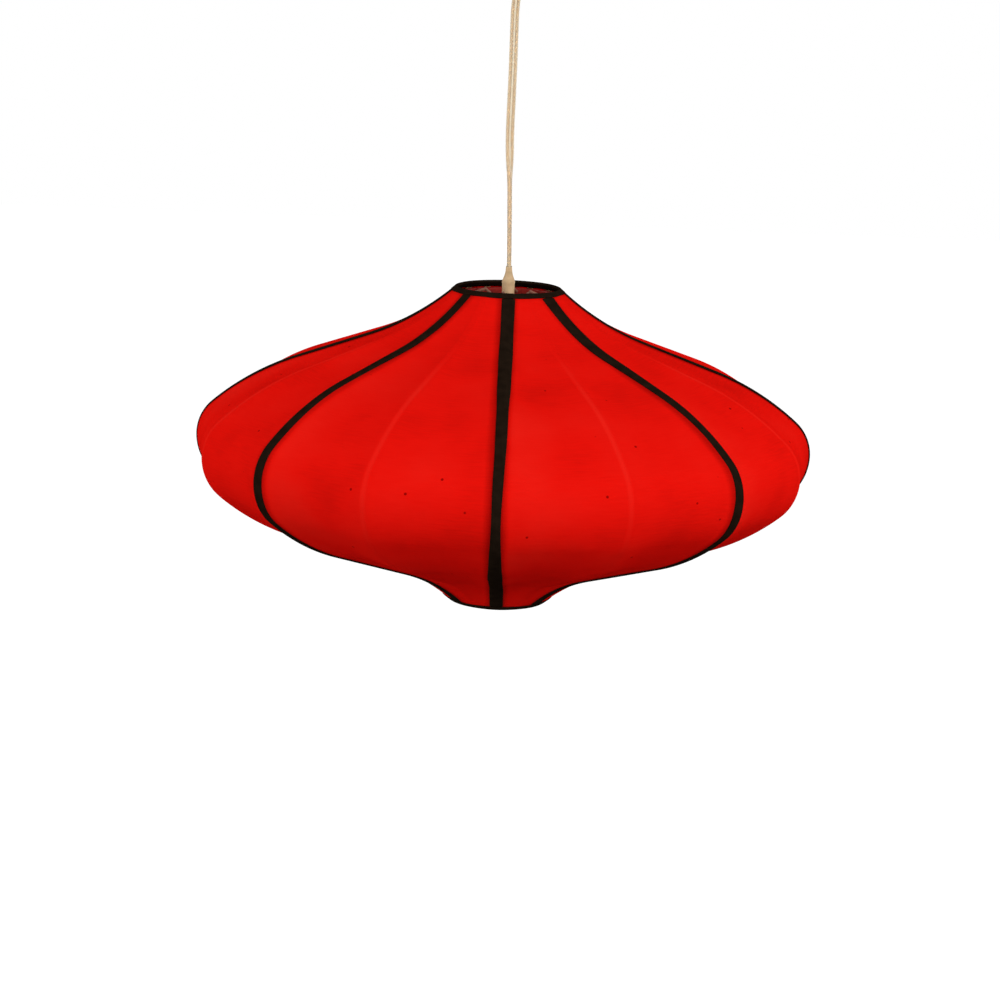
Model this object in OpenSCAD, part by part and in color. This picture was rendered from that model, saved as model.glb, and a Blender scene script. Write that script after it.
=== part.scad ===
// Hanging fabric lantern: a saucer-shaped shade of sixteen bowed ribs between two slotted hoops,
// with a fabric cover and ribbon trims, a lampholder and bulb inside it, a clear twin cord and a
// small ceiling fitting. Millimetres, Z up, origin on the ceiling at the middle of the fitting.

/* [Shade] */
// widest diameter, over the ribbons
shade_d = 400; // [350:1:460]
// height of the upper half, from the widest circle to the rib ends
upper_h = 98.2; // [80:0.2:115]
// height of the lower half, from the widest circle to the rib ends
lower_h = 97.4; // [80:0.2:115]

/* [Upper bow] */
// bend radius of a rib at the widest circle
upper_bend_r = 27; // [18:0.5:40]
// how far the shoulder starts above the chord, in degrees
upper_shoulder = 14; // [9:0.5:20]
// how far the straight flank dips below the chord, in degrees
upper_dip = 7.5; // [4:0.5:9]
// how far the neck ends above the chord, in degrees
upper_neck = 13; // [9:0.5:20]

/* [Lower bow] */
// bend radius of a rib at the widest circle
lower_bend_r = 32; // [18:0.5:40]
// how far the shoulder starts above the chord, in degrees
lower_shoulder = 15; // [9:0.5:20]
// how far the straight flank dips below the chord, in degrees
lower_dip = 6.5; // [4:0.5:9]
// how far the neck ends above the chord, in degrees
lower_neck = 13; // [9:0.5:20]

/* [Ribs] */
// width of a bamboo rib
rib_w = 4; // [3:0.1:5]
// thickness of a bamboo rib
rib_t = 2.4; // [1.8:0.1:3]
// width of the tongue at each rib end
tongue_w = 2.4; // [1.8:0.1:2.8]
// how much thinner than the rib its tongue is
tongue_step = 0.5; // [0.4:0.1:0.6]
// how far the tongue's middle lies inside the rib's end
tongue_drop = 0.6; // [0.5:0.1:0.8]
// how far the tongue runs into the rib
tongue_root = 0.9; // [0.6:0.1:1]
// length of tongue past the tie wire
tongue_past = 1; // [0.8:0.1:1.1]

/* [Cover] */
// thickness of the fabric
fabric_t = 0.5; // [0.3:0.05:0.8]
// how far the fabric sinks between two ribs at the widest circle
cover_sag = 1.5; // [0:0.1:4]
// length of fabric past the rib ends
cover_tail = 4.8; // [3.5:0.1:7]
// half the gap at a seam between two panels
seam_gap = 0.05; // [0.02:0.01:0.1]
// glue line between two layers
glue = 0.12; // [0.1:0.01:0.2]

/* [Ribbons] */
// width of the ribbon on a rib
ribbon_w = 8; // [5:0.5:10]
// thickness of the ribbons
ribbon_t = 0.4; // [0.25:0.05:0.6]
// length of a rib's ribbon past the rib ends
ribbon_tail = 1.2; // [0.6:0.1:1.6]
// gap from a rib's ribbon to the ribbon round the mouth
band_gap = 0.2; // [0.1:0.05:0.4]
// start of the mouth ribbon's inner layer, past the rib ends
lining_from = 0.4; // [0.3:0.1:1.5]
// least gap between the fabric and the mouth ribbon's inner layer
lining_gap = 0.12; // [0.1:0.01:0.2]
// least gap between the fabric's edge and the ribbon folded over it
rim_gap = 0.1; // [0.08:0.01:0.2]

/* [Hoops] */
// outer diameter of a hoop
hoop_d = 63; // [58:1:90]
// wall of a hoop
hoop_wall = 4.2; // [4.2:0.1:6]
// height of a hoop
hoop_h = 3.6; // [3.4:0.1:5]
// depth of a hoop on the inner side of its tie wire
hoop_below = 2.35; // [2.2:0.05:2.6]
// wall left behind a slot
slot_wall = 1.2; // [1:0.1:1.3]
// gap between a rib's end and the hoop's outer face
neck_gap = 4.6; // [4.2:0.1:6]
// depth of the tie wire's circle in from the hoop's outer face
wire_in = 1.8; // [1.7:0.05:1.8]
// diameter of the tie wire
wire_d = 0.8; // [0.6:0.1:0.9]
// play between a tongue and its slot, and round the tie wire
slot_play = 0.1; // [0.05:0.01:0.12]

/* [Spider] */
// wire diameter of the four arms
arm_d = 1.8; // [1.4:0.1:1.9]
// radius at which an arm bends over
arm_knee_r = 14.7; // [12:0.1:18]
// height of the knee above the arm's end in the hoop
arm_knee_up = 3.8; // [1:0.1:5]
// height of the arm's end above the hoop's inner edge
arm_up = 1.9; // [1.6:0.1:2]
// depth of the arm's end in the hoop
arm_in = 1.6; // [1:0.1:1.6]
// straight length of the arm's end before the hoop
arm_toe = 1.8; // [1.5:0.1:3]
// how far an arm starts inside the eye's edge
arm_root = 1.6; // [1.4:0.1:2]
// how much wider than the wire a bend of an arm is
arm_swell = 0.3; // [0.2:0.1:0.4]
// outer diameter of the eye round the stem
eye_d = 15; // [13:0.5:20]
// height of the eye
eye_h = 2.4; // [2:0.1:3]
// depth of the eye below the top hoop's inner edge
eye_drop = 2.8; // [2.5:0.1:5]
// running clearance between the eye and the stem
eye_clear = 0.08; // [0.04:0.01:0.1]
// gap under the eye, on the lampholder's cap
seat_gap = 0.05; // [0.02:0.01:0.1]

/* [Stem and grip] */
// outer diameter of the hollow stem
stem_d = 8; // [7.6:0.1:10]
// bore of the stem
stem_bore = 5.8; // [5.7:0.1:6.4]
// height of the stem above the eye
stem_up = 10.8; // [4:0.1:16]
// depth of the stem in the lampholder's cap
stem_down = 6; // [4:0.5:9]
// diameter of the grip's collar
grip_d = 8.4; // [8:0.1:12]
// height of the grip's collar
grip_collar_h = 1.6; // [1:0.1:3]
// height of the grip's jaws
grip_cone_h = 9; // [7:0.1:18]
// diameter of the jaws at the collar
grip_base_d = 7.8; // [7.4:0.1:8]
// diameter of the jaws at the tip
grip_tip_d = 7; // [6.8:0.1:7.2]
// thickness of the jaws at the tip
grip_tip_t = 4; // [3.8:0.1:5]
// play between the cord and what it passes through
cord_play = 0.15; // [0.1:0.01:0.2]

/* [Lampholder] */
// outer diameter of the lampholder
holder_d = 40; // [38:0.5:44]
// diameter of the cap's flat top
cap_top_d = 19; // [17:0.5:24]
// height of the cap
cap_h = 29; // [26:0.5:36]
// radius of the cap's shoulder
cap_round = 9; // [6:0.5:10]
// thickness of the cap's top
cap_roof = 3.5; // [2.5:0.5:5]
// height of the skirt below the cap
skirt_h = 33; // [30:0.5:40]
// wall of the cap
holder_wall = 2.2; // [1.8:0.1:2.6]
// height of the spigot inside the cap
spigot_h = 6; // [4:0.5:8]
// wall of the spigot
spigot_wall = 1.6; // [1.2:0.1:2]
// gap between the spigot and the cap
spigot_gap = 0.1; // [0.05:0.01:0.15]
// height of the contact block
block_h = 9; // [7:0.5:11]
// depth of the contact block's lower face below the cap's edge
block_down = 5; // [3:0.5:6]
// gap round the contact block
block_gap = 0.05; // [0.03:0.01:0.1]
// distance between the block's two wire holes
pole_span = 16; // [14:0.5:20]
// diameter of the block's wire holes
pole_d = 4; // [3:0.5:5]
// depth of the block's wire holes
pole_deep = 5; // [3:0.5:6]
// diameter of the centre contact
contact_d = 6; // [4:0.5:8]
// distance from the contact block to the bulb's tip
contact_h = 2.2; // [1.6:0.1:4]
// gap between the centre contact and the bulb's tip
contact_gap = 0.1; // [0.05:0.01:0.2]
// wall of the screw shell
shell_t = 0.5; // [0.4:0.05:0.8]
// depth of the screw shell inside the skirt's lower edge
shell_up = 3; // [1:0.5:6]

/* [Bulb] */
// outer diameter of the bulb's metal cap
bulb_cap_d = 26.4; // [25.9:0.1:26.6]
// length of the bulb's metal cap
bulb_cap_l = 21; // [19:0.5:23]
// wall of the bulb's metal cap
bulb_cap_t = 0.4; // [0.3:0.05:0.6]
// diameter of the glass ball
bulb_d = 45; // [40:1:55]
// length from the metal cap to the far end of the glass
bulb_l = 51; // [46:1:62]
// wall of the glass
glass_t = 0.8; // [0.6:0.1:1.2]
// how far the glass neck starts inside the ball's radius
neck_inset = 5; // [4:0.5:7]
// how far the glass neck ends inside the metal cap's radius
neck_in = 1.2; // [0.8:0.1:2]
// running clearance between the bulb's cap and the screw shell
screw_clear = 0.06; // [0.03:0.01:0.1]
// height of the bulb's tip
tip_h = 4; // [3.5:0.5:5]
// height of the tip's black cone
tip_cone_h = 3; // [2:0.5:3]
// how far the cone starts inside the metal cap's radius
tip_inset = 3; // [2:0.5:5]
// diameter of the cone's far end
tip_cone_d = 11; // [9.5:0.5:14]
// diameter of the tip's contact
tip_d = 9; // [7:0.5:9]

/* [Cord] */
// width of the flat twin cord
cord_w = 5.4; // [5:0.1:5.6]
// thickness of the flat twin cord
cord_t = 2.9; // [2.6:0.1:3]
// thickness of the web between the cord's two cores
cord_web = 2.2; // [1.6:0.1:2.4]
// length of cord inside the lampholder's cap
cord_tail = 14; // [10:1:20]
// height of the ceiling above the widest circle
drop = 330; // [330:5:900]

/* [Ceiling fitting] */
// outer diameter of the cup
cup_d = 76; // [70:1:100]
// depth of the cup
cup_h = 34; // [32:1:44]
// wall of the cup
cup_wall = 1.6; // [1.4:0.1:2]
// outer radius of the cup's lower edge
cup_round = 8; // [4:0.5:10]
// gap between the cup's rim and the ceiling
cup_gap = 0.4; // [0.2:0.1:1]
// diameter of the bush through the cup's floor
bush_d = 18; // [17.5:0.5:22]
// how far the bush's flange stands out on the cup's floor
flange_out = 4; // [2:0.5:6]
// thickness of the bush's flange
flange_h = 2.5; // [2:0.5:4]
// gap between the bush and the cup
bush_gap = 0.05; // [0.03:0.01:0.1]
// length of the bell mouth below the cup
mouth_l = 4; // [3:0.5:5]
// diameter of the bell mouth
mouth_d = 15; // [14.5:0.5:16.5]
// diameter of the ball on the cord
ball_d = 13; // [12:0.5:14]
// height of the ball's middle above the cup's floor
ball_up = 6; // [5.5:0.5:8]
// running clearance between the ball and its seat
ball_clear = 0.08; // [0.04:0.01:0.1]
// how far the bush's top lies below the ball's middle
seat_cut = 0.5; // [0.3:0.1:1.5]
// diameter of the ball's grub screw
grub_d = 3; // [2:0.5:4]
// depth of the grub screw's end inside the ball
grub_in = 0.4; // [0.2:0.1:1]
// width of the terminal block
term_w = 18; // [15:1:22]
// depth of the terminal block
term_t = 8; // [7:0.5:12]
// height of the terminal block
term_h = 9; // [7:0.5:10]
// gap between the ball and the terminal block
term_gap = 1; // [0.5:0.5:2]
// length of cord inside the terminal block
term_cord = 2; // [1:0.5:3]
// distance between the terminal block's two poles
term_span = 10; // [8:0.5:12]
// diameter of the terminal block's poles
term_pole_d = 3; // [2:0.5:4]
// depth of the terminal block's poles
term_pole_deep = 5; // [3:0.5:5]
// width of the ceiling strap
strap_w = 14; // [12:1:18]
// thickness of the ceiling strap
strap_t = 1.6; // [1.4:0.1:2]
// distance between the strap's two ceiling holes
hole_span = 40; // [36:1:44]
// diameter of the strap's two ceiling holes
hole_d = 4.5; // [4:0.1:5]
// width of the strap's ears
ear_w = 8; // [7:0.5:8.5]
// length of the strap's ears
ear_l = 14; // [13:0.5:16]
// length over which the strap narrows to its ears
ear_neck = 2; // [1.7:0.1:4]
// gap between an ear and the cup
ear_gap = 0.4; // [0.2:0.1:1]
// diameter of the two cup screws
screw_d = 4; // [3:0.5:4]
// depth of the cup screws below the ceiling
screw_down = 9; // [8:0.5:10]
// length of a cup screw past the inner side of its ear
screw_past = 2; // [1:0.5:5]
// diameter of a cup screw's head
screw_head_d = 7.2; // [6:0.2:9]
// height of a cup screw's head
screw_head_h = 2.2; // [1.6:0.1:3]
// play round a cup screw in the cup
screw_play = 0.15; // [0.1:0.01:0.3]

/* [Hidden] */
$fn = 96;
ribs = 16;
panels = 8;
arms = 4;
bend_steps = 8;
bow_steps = 6;
jaw_steps = 8;
cord_rings = 60;
rib_step = 360 / ribs;
arm_turn = rib_step / 2;
over = 1;

// hoops and tie wires
hoop_r = hoop_d / 2;
hoop_in = hoop_r - hoop_wall;
neck_r = hoop_r + neck_gap;
wire_r = hoop_r - wire_in;
groove = wire_d + 2 * slot_play;
slot_floor = hoop_in + slot_wall;
tongue_t = rib_t - tongue_step;
tongue_tip = wire_r - tongue_past;
function wire_z(h) = h - tongue_drop;
function hoop_z(h) = wire_z(h) - hoop_below;

// distances out from the rib's middle line to the fabric's and the ribbons' faces, and how far the
// fabric's straight spans lie inside the circle of the ribs at the neck
flat_dip = max(0, neck_r * (1 - cos(rib_step / 2)) - rib_w / 2 * sin(rib_step / 2));
cover_in = rib_t / 2 + glue;
cover_out = cover_in + fabric_t;
band_in = cover_out + glue;
band_out = band_in + ribbon_t;
lining_out = cover_in - flat_dip - lining_gap;
lining_in = lining_out - ribbon_t;
mid_r = shade_d / 2 - band_out;

// spider, stem and grip
arm_z = hoop_z(upper_h) + arm_up;
eye_z = hoop_z(upper_h) - eye_drop;
cap_z = eye_z - seat_gap;
stem_z = eye_z + eye_h + stem_up;
stem_l = stem_z - cap_z + stem_down;

// lampholder and bulb
holder_r = holder_d / 2;
skirt_z = cap_z - cap_h;
holder_z = skirt_z - skirt_h;
spigot_r = holder_r - holder_wall - spigot_gap;
spigot_in = spigot_r - spigot_wall;
bulb_r = bulb_cap_d / 2;
shell_r = bulb_r + screw_clear;
block_z = skirt_z - block_down;
bulb_top = block_z - contact_h;
bulb_cap_z = bulb_top - tip_h - bulb_cap_l;
ball_z = bulb_cap_z - bulb_l + bulb_d / 2;
hair = 0.02;

// ceiling fitting
cup_r = cup_d / 2;
floor_z = -cup_h + cup_wall;
pivot_z = floor_z + ball_up;
ear_x = cup_r - cup_wall - ear_gap;
screw_z = -screw_down;
seat_r = ball_d / 2 + ball_clear;
seat_low = seat_r * cos(45);
bush_r = bush_d / 2;
bush_z = -cup_h - mouth_l;
term_z = pivot_z + ball_d / 2 + term_gap;
cord_hole_d = cord_w + 2 * cord_play;

// cord: its line as shifts to the side at heights above the widest circle, and its quarter turn
cord_route = [[0, 80], [0, 120], [-1, 155], [-2.5, 200], [-2, 240], [-2, 280], [0, 293]];
cord_ease = 6;
cord_turn_low = 165;
cord_turn_high = 200;
cord_end = cap_z - cord_tail;
cord_top = drop + term_z + term_cord;
core_r = cord_t / 2;
core_x = cord_w / 2 - core_r;

function rib_name(i) = str("rib_", i < 10 ? "0" : "", i);

// Outward normal and run towards the hoop of a line that slopes at an angle, as radius and height.
function out(a) = [sin(a), cos(a)];
function along(a) = [-cos(a), sin(a)];

// Half a bow from the widest circle to the hoop: an arc at the bend, a shoulder arc, a straight
// flank and a hollow neck arc of the shoulder's radius, all tangent. The chord is the line to which
// the shoulder, flank and neck angles are given. Each row is a point and its outward normal.
function half_bow(h, bend, shoulder, dip, neck) =
    let (reach = [neck_r - mid_r + bend, h])
    let (chord = atan2(reach[0], reach[1]) + acos(bend * cos(shoulder) / norm(reach)))
    let (flank = (2 * cos(dip) - cos(shoulder) - cos(neck)) / sin(dip))
    let (sweep = sin(shoulder) + 2 * sin(dip) + sin(neck) + flank * cos(dip))
    let (r = (reach * along(chord) + bend * sin(shoulder)) / sweep)
    let (high = chord + shoulder, low = chord - dip, end = chord + neck)
    let (bend_c = [mid_r - bend, 0])
    let (shoulder_c = bend_c + (bend - r) * out(high))
    let (neck_c = shoulder_c + 2 * r * out(low) + r * flank * along(low))
    concat(
        arc_rows(bend_c, bend, 90, high, 0, bend_steps),
        arc_rows(shoulder_c, r, high, low, 1, bow_steps),
        arc_rows(neck_c, -r, low, end, 0, bow_steps)
    );
function arc_rows(c, r, from, to, first, steps) =
    [for (k = [first : steps]) let (a = from + (to - from) * k / steps) [c + r * out(a), out(a)]];

// The rows led on past the rib's end, and both halves as one list from the lower end to the upper.
function last(rows) = rows[len(rows) - 1];
function past(row, l) = row[0] + l * [-row[1][1], row[1][0]];
function led_on(rows, l) = concat(rows, [[past(last(rows), l), last(rows)[1]]]);
function below(row) = [[row[0][0], -row[0][1]], [row[1][0], -row[1][1]]];
function whole(low, high) = concat([for (k = [len(low) - 1 : -1 : 1]) below(low[k])], high);
upper_rows = half_bow(upper_h, upper_bend_r, upper_shoulder, upper_dip, upper_neck);
lower_rows = half_bow(lower_h, lower_bend_r, lower_shoulder, lower_dip, lower_neck);
rib_rows = whole(lower_rows, upper_rows);
cover_rows = whole(led_on(lower_rows, cover_tail), led_on(upper_rows, cover_tail));
ribbon_rows = whole(led_on(lower_rows, ribbon_tail), led_on(upper_rows, ribbon_tail));

// A bowed strip in the XZ plane: its faces follow the rows at two distances out.
module bow(rows, low, high, w) {
    outer = [for (row = rows) row[0] + high * row[1]];
    inner = [for (k = [len(rows) - 1 : -1 : 0]) rows[k][0] + low * rows[k][1]];
    rotate([90, 0, 0])
        linear_extrude(height = w, center = true)
            polygon(concat(outer, inner));
}

// Turns a piece drawn in the XZ plane to the place of a rib, counted from the front.
module at_rib(i) {
    rotate([0, 0, i * rib_step - 90])
        children();
}

// Lowers the shade and what hangs with it to its height below the ceiling.
module hung() {
    translate([0, 0, -drop])
        children();
}

// Bamboo rib: one strip bent to the bow, with a thinner level tongue and a wire eye at each end.
module rib(i) {
    color("burlywood")
        hung()
            at_rib(i)
                difference() {
                    union() {
                        bow(rib_rows, -rib_t / 2, rib_t / 2, rib_w);
                        tongue(upper_h);
                        mirror([0, 0, 1])
                            tongue(lower_h);
                    }
                    wire_eye(upper_h);
                    mirror([0, 0, 1])
                        wire_eye(lower_h);
                }
}

module tongue(h) {
    translate([tongue_tip, -tongue_w / 2, wire_z(h) - tongue_t / 2])
        cube([neck_r + tongue_root - tongue_tip, tongue_w, tongue_t]);
}

module wire_eye(h) {
    translate([wire_r, 0, wire_z(h)])
        rotate([90, 0, 0])
            cylinder(d = groove, h = rib_w, center = true);
}

// Ribbon over a seam: the same bow, two layers out, ending at the ribbons round the mouths.
module rib_ribbon(i) {
    color("black")
        hung()
            at_rib(2 * i)
                bow(ribbon_rows, band_in, band_out, ribbon_w);
}

// Places across one panel: seam, rib edge, mid span, bare rib's two edges, mid span, rib edge, seam.
function turned(p, a) = [p[0] * cos(a) - p[1] * sin(a), p[0] * sin(a) + p[1] * cos(a)];
function sag_at(r) = cover_sag * max(0, r - neck_r) / (mid_r - neck_r);
function rib_edge(r, side) = turned([r, -side * rib_w / 2], side * rib_step);
function seam_edge(r, side) = turned([r, -side * seam_gap], side * rib_step);
function span_mid(r, nr, side) =
    let (m = (rib_edge(r, side) + [r, side * rib_w / 2]) / 2)
    m - sag_at(r) * nr * turned([1, 0], side * rib_step / 2);
function across(row, up) =
    let (r = row[0][0] + up * row[1][0])
    let (z = row[0][1] + up * row[1][1])
    let (zs = z - sag_at(r) * row[1][1])
    let (a = seam_edge(r, -1), b = rib_edge(r, -1), c = span_mid(r, row[1][0], -1))
    let (d = span_mid(r, row[1][0], 1), e = rib_edge(r, 1), f = seam_edge(r, 1))
    [
        [a[0], a[1], z],
        [b[0], b[1], z],
        [c[0], c[1], zs],
        [r, -rib_w / 2, z],
        [r, rib_w / 2, z],
        [d[0], d[1], zs],
        [e[0], e[1], z],
        [f[0], f[1], z]
    ];

// Fabric panel: a thin shell from seam to seam, stretched over one bare rib and glued to three.
module panel(i) {
    inner = [for (row = cover_rows) each across(row, cover_in)];
    outer = [for (row = cover_rows) each across(row, cover_out)];
    n = len(inner);
    rows = len(cover_rows);
    cols = n / rows;
    top = n - cols;
    skin = [for (j = [0 : rows - 2]) for (k = [0 : cols - 2]) each cell(j * cols + k, cols)];
    back = [for (f = skin) [f[0] + n, f[2] + n, f[1] + n]];
    low = [for (k = [0 : cols - 2]) each strip_pair(k, k + 1, n)];
    high = [for (k = [0 : cols - 2]) each strip_pair(top + k + 1, top + k, n)];
    left = [for (j = [0 : cols : top - 1]) each strip_pair(j + cols, j, n)];
    right = [for (j = [cols - 1 : cols : top - 1]) each strip_pair(j, j + cols, n)];
    color("red")
        hung()
            at_rib(2 * i + 1)
                polyhedron(concat(inner, outer), concat(skin, back, low, high, left, right));
}
function cell(p, cols) = [[p, p + 1, p + cols], [p + 1, p + cols + 1, p + cols]];
function strip_pair(p, q, n) = [[p, p + n, q], [q, p + n, q + n]];

// Wooden hoop with sixteen slots for the tongues and a groove for the tie wire.
module hoop(h) {
    difference() {
        translate([0, 0, hoop_z(h)])
            cylinder(r = hoop_r, h = hoop_h);
        translate([0, 0, hoop_z(h) - over])
            cylinder(r = hoop_in, h = hoop_h + 2 * over);
        rotate_extrude()
            translate([wire_r - groove / 2, wire_z(h) - groove / 2])
                square([wire_in + groove, groove]);
        for (i = [0 : ribs - 1])
            at_rib(i)
                translate([slot_floor, -tongue_w / 2 - slot_play, hoop_z(h) - over])
                    cube([hoop_wall, tongue_w + 2 * slot_play, hoop_h + 2 * over]);
    }
}

module top_hoop() {
    color("sienna")
        hung()
            difference() {
                hoop(upper_h);
                for (i = [0 : arms - 1])
                    at_arm(i)
                        translate([hoop_in - over, 0, arm_z])
                            rotate([0, 90, 0])
                                cylinder(d = arm_d + slot_play, h = arm_in + over + slot_play);
            }
}

module bottom_hoop() {
    color("sienna")
        hung()
            mirror([0, 0, 1])
                hoop(lower_h);
}

// Tie wire: a ring through the eyes of all the tongues.
module tie_wire(h) {
    translate([0, 0, wire_z(h)])
        rotate_extrude()
            translate([wire_r, 0])
                circle(d = wire_d);
}

module top_wire() {
    color("silver")
        hung()
            tie_wire(upper_h);
}

module bottom_wire() {
    color("silver")
        hung()
            mirror([0, 0, 1])
                tie_wire(lower_h);
}

// Ribbon round a mouth: a band on the fabric, folded over its edge and down again inside it.
module mouth_ribbon(end) {
    band_from = ribbon_tail + band_gap;
    rim_in = cover_tail + flat_dip + rim_gap;
    rim_out = rim_in + ribbon_t;
    fold = [
        [band_from, band_in],
        [band_from, band_out],
        [rim_out, band_out],
        [rim_out, lining_in],
        [lining_from, lining_in],
        [lining_from, lining_out],
        [rim_in, lining_out],
        [rim_in, band_in]
    ];
    rotate_extrude()
        polygon([for (p = fold) past(end, p[0]) + p[1] * end[1]]);
}

module top_ribbon() {
    color("black")
        hung()
            mouth_ribbon(last(upper_rows));
}

module bottom_ribbon() {
    color("black")
        hung()
            mirror([0, 0, 1])
                mouth_ribbon(last(lower_rows));
}

// Turns a piece drawn along X to the place of a spider arm, midway between two ribs.
module at_arm(i) {
    rotate([0, 0, i * 360 / arms - 90 - arm_turn])
        children();
}

// A round bar in the XZ plane between two points given as radius and height.
module bar(p, q, d) {
    run = q - p;
    translate([p[0], 0, p[1]])
        rotate([0, atan2(run[0], run[1]), 0])
            cylinder(d = d, h = norm(run));
}

// Spider: four bent wires from an eye on the stem to holes in the top hoop.
module spider() {
    foot = [eye_d / 2 - arm_root, eye_z + eye_h / 2];
    knee = [arm_knee_r, arm_z + arm_knee_up];
    toe = [hoop_in - arm_toe, arm_z];
    color("tan")
        hung() {
            difference() {
                translate([0, 0, eye_z])
                    cylinder(d = eye_d, h = eye_h);
                translate([0, 0, eye_z - over])
                    cylinder(d = stem_d + 2 * eye_clear, h = eye_h + 2 * over);
            }
            for (i = [0 : arms - 1])
                at_arm(i) {
                    bar(foot, knee, arm_d);
                    bar(knee, toe, arm_d);
                    bar(toe, [hoop_in + arm_in, arm_z], arm_d);
                    for (p = [knee, toe])
                        translate([p[0], 0, p[1]])
                            sphere(d = arm_d + arm_swell);
                }
        }
}

// Hollow stem: carries the spider's eye and joins the grip to the lampholder.
module stem() {
    color("wheat")
        hung()
            translate([0, 0, cap_z - stem_down])
                difference() {
                    cylinder(d = stem_d, h = stem_l);
                    translate([0, 0, -over])
                        cylinder(d = stem_bore, h = stem_l + 2 * over);
                }
}

// Cord grip: a collar and two flared jaws that close on the flat cord.
module grip_cone() {
    color("tan")
        hung()
            translate([0, 0, stem_z])
                difference() {
                    union() {
                        cylinder(d = grip_d, h = grip_collar_h);
                        translate([0, 0, grip_collar_h])
                            jaws();
                    }
                    translate([-cord_t / 2 - cord_play, -cord_w / 2 - cord_play, -over])
                        cube([cord_t + 2 * cord_play, cord_hole_d, grip_collar_h + grip_cone_h + 2 * over]);
                }
}

// The jaws: a steep cone, hollowed on its two flat sides down to the cord's thickness.
module jaws() {
    side = [for (k = [0 : jaw_steps]) [jaw_half(k / jaw_steps), grip_cone_h * k / jaw_steps]];
    back = [for (k = [jaw_steps : -1 : 0]) [-side[k][0], side[k][1]]];
    intersection() {
        cylinder(d1 = grip_base_d, d2 = grip_tip_d, h = grip_cone_h);
        rotate([90, 0, 0])
            linear_extrude(height = 2 * grip_d, center = true)
                polygon(concat(side, back));
    }
}
function jaw_half(t) = (grip_tip_t + (grip_d - grip_tip_t) * pow(1 - t, 2.4)) / 2;

// Outline of the lampholder's cap, solid, as radius and height from its lower edge.
module cap_outline(r, h, top, round_r) {
    union() {
        square([r, h - 2 * round_r]);
        square([top, h]);
        square([r - round_r, h - round_r]);
        translate([r - round_r, h - 2 * round_r])
            circle(r = round_r);
    }
}

module holder_cap() {
    color("white")
        hung()
            translate([0, 0, skirt_z])
                difference() {
                    rotate_extrude()
                        intersection() {
                            cap_outline(holder_r, cap_h, cap_top_d / 2, cap_round);
                            square([holder_r, cap_h]);
                        }
                    translate([0, 0, -over])
                        cylinder(r = holder_r - holder_wall, h = cap_h - 2 * cap_round + over);
                    cylinder(r = cap_top_d / 2 - holder_wall, h = cap_h - cap_roof);
                    cylinder(d = stem_d, h = cap_h + over);
                }
}

// Skirt: the lower shell of the lampholder, with a spigot inside the cap.
module holder_skirt() {
    color("white")
        hung()
            translate([0, 0, holder_z])
                difference() {
                    union() {
                        cylinder(r = holder_r, h = skirt_h);
                        cylinder(r = spigot_r, h = skirt_h + spigot_h);
                    }
                    translate([0, 0, -over])
                        cylinder(r = spigot_in, h = skirt_h + spigot_h + 2 * over);
                }
}

// Contact block: the insulating disc that carries the contacts.
module contact_block() {
    color("ivory")
        hung()
            translate([0, 0, block_z])
                difference() {
                    cylinder(r = spigot_in - block_gap, h = block_h);
                    for (side = [-1, 1])
                        translate([side * pole_span / 2, 0, block_h - pole_deep])
                            cylinder(d = pole_d, h = pole_deep + over);
                }
}

module centre_contact() {
    color("goldenrod")
        hung()
            translate([0, 0, bulb_top + contact_gap])
                cylinder(d = contact_d, h = contact_h - contact_gap - hair);
}

// Screw shell: the sleeve that the bulb's cap turns in.
module screw_shell() {
    shell_h = block_z - holder_z - shell_up - hair;
    color("goldenrod")
        hung()
            translate([0, 0, holder_z + shell_up])
                difference() {
                    cylinder(r = shell_r + shell_t, h = shell_h);
                    translate([0, 0, -over])
                        cylinder(r = shell_r, h = shell_h + 2 * over);
                }
}

// Bulb glass: a hollow ball with a neck that ends in the metal cap.
module bulb_glass() {
    color("ivory", 0.6)
        hung()
            difference() {
                glass_form(0, 0);
                glass_form(glass_t, hair);
            }
}

module glass_form(inset, more) {
    neck_low = bulb_d / 2 - neck_inset - inset;
    neck_high = bulb_r - neck_in - inset;
    translate([0, 0, ball_z]) {
        sphere(d = bulb_d - 2 * inset);
        cylinder(r1 = neck_low, r2 = neck_high, h = bulb_cap_z - ball_z + more);
    }
}

module bulb_cap() {
    color("silver")
        hung()
            translate([0, 0, bulb_cap_z])
                difference() {
                    cylinder(r = bulb_r, h = bulb_cap_l);
                    translate([0, 0, -over])
                        cylinder(r = bulb_r - bulb_cap_t, h = bulb_cap_l + over - bulb_cap_t);
                }
}

module bulb_tip() {
    color("dimgray")
        hung()
            translate([0, 0, bulb_cap_z + bulb_cap_l]) {
                cylinder(r1 = bulb_r - tip_inset, r2 = tip_cone_d / 2, h = tip_cone_h);
                cylinder(d = tip_d, h = tip_h);
            }
}

// The cord's middle line at a height above the widest circle, as a shift to the side, eased at the
// route's points, and the angle by which the flat cord is turned there.
route_table = [for (p = cord_route) [p[1], p[0]]];
function cord_x(z) =
    (lookup(z - cord_ease, route_table) + lookup(z, route_table) + lookup(z + cord_ease, route_table)) / 3;
function smooth(t) = let (u = min(1, max(0, t))) u * u * (3 - 2 * u);
function cord_turn(z) = 90 * (1 - smooth((z - cord_turn_low) / (cord_turn_high - cord_turn_low)));
cord_ring = concat(
    [for (a = [-110 : 55 : 110]) [core_x + core_r * cos(a), core_r * sin(a)]],
    [[0, cord_web / 2]],
    [for (a = [70 : 55 : 290]) [-core_x + core_r * cos(a), core_r * sin(a)]],
    [[0, -cord_web / 2]]
);

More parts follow.
